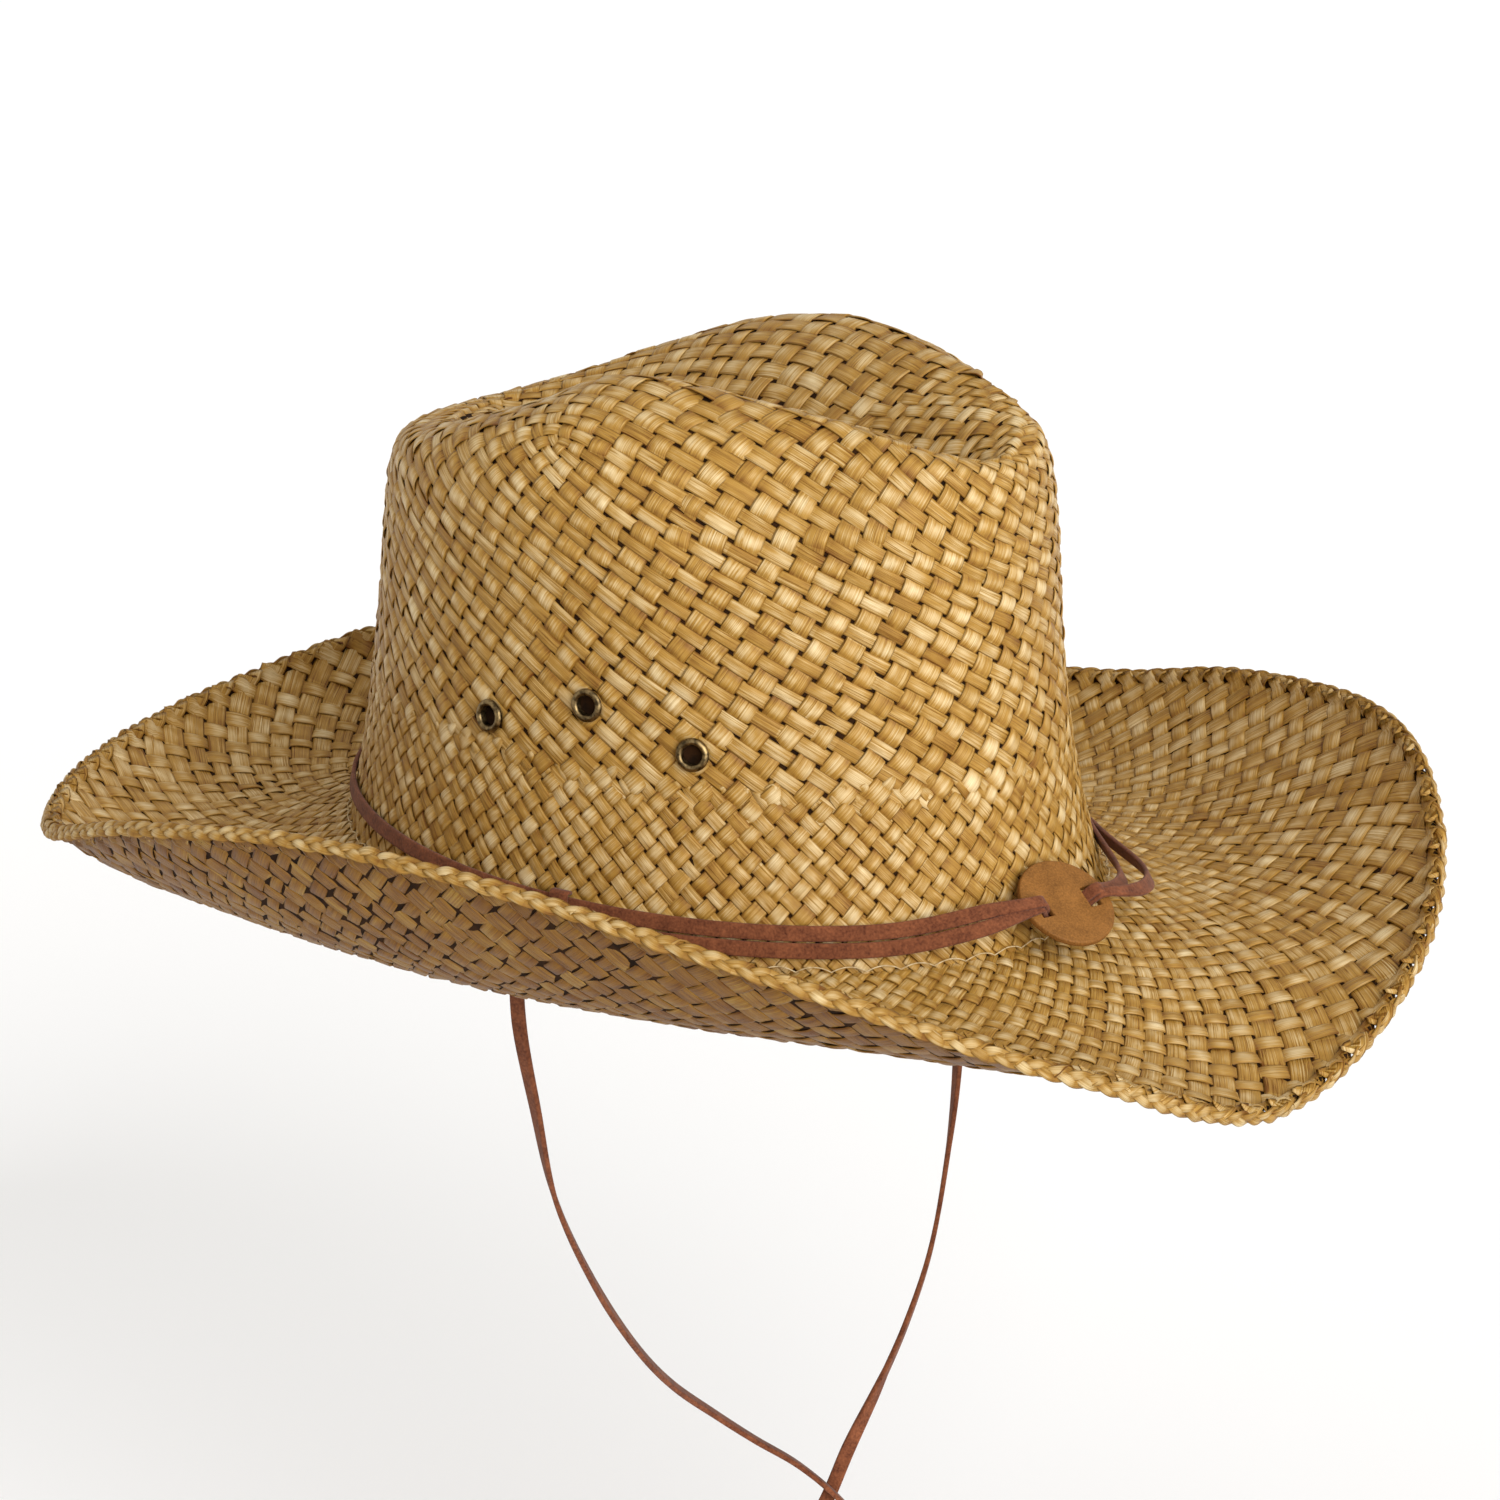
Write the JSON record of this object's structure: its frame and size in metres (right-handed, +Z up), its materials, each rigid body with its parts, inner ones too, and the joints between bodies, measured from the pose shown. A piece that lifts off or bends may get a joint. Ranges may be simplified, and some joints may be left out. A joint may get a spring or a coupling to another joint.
{
  "type": "straw hat",
  "caption": "Western hat of woven straw with a creased crown, a rolled brim, a flat lace and leather disc round the crown, eyelets and a hanging chin lace.",
  "frame": {"origin": "middle of the head opening, in the plane where the crown meets the brim", "axes": "+X to the hat's front, the end with the leather disc; +Y to the wearer's left; +Z up through the crown"},
  "size_m": [0.3556, 0.303, 0.354],
  "materials": {
    "straw": "woven, slightly glossy",
    "suede": "napped",
    "disc_leather": "matt",
    "brass": "dark, satin"
  },
  "bodies": {
    "root": {"crown": "straw", "brim": "straw", "edge_braid": "straw", "band_lace": "suede", "front_lace": "suede", "disc": "disc_leather", "keeper_left": "suede", "keeper_right": "suede", "chin_lace": "suede", "eyelet_left_front": "brass", "eyelet_left_middle": "brass", "eyelet_left_back": "brass", "eyelet_right_front": "brass", "eyelet_right_middle": "brass", "eyelet_right_back": "brass"}
  },
  "joints": []
}
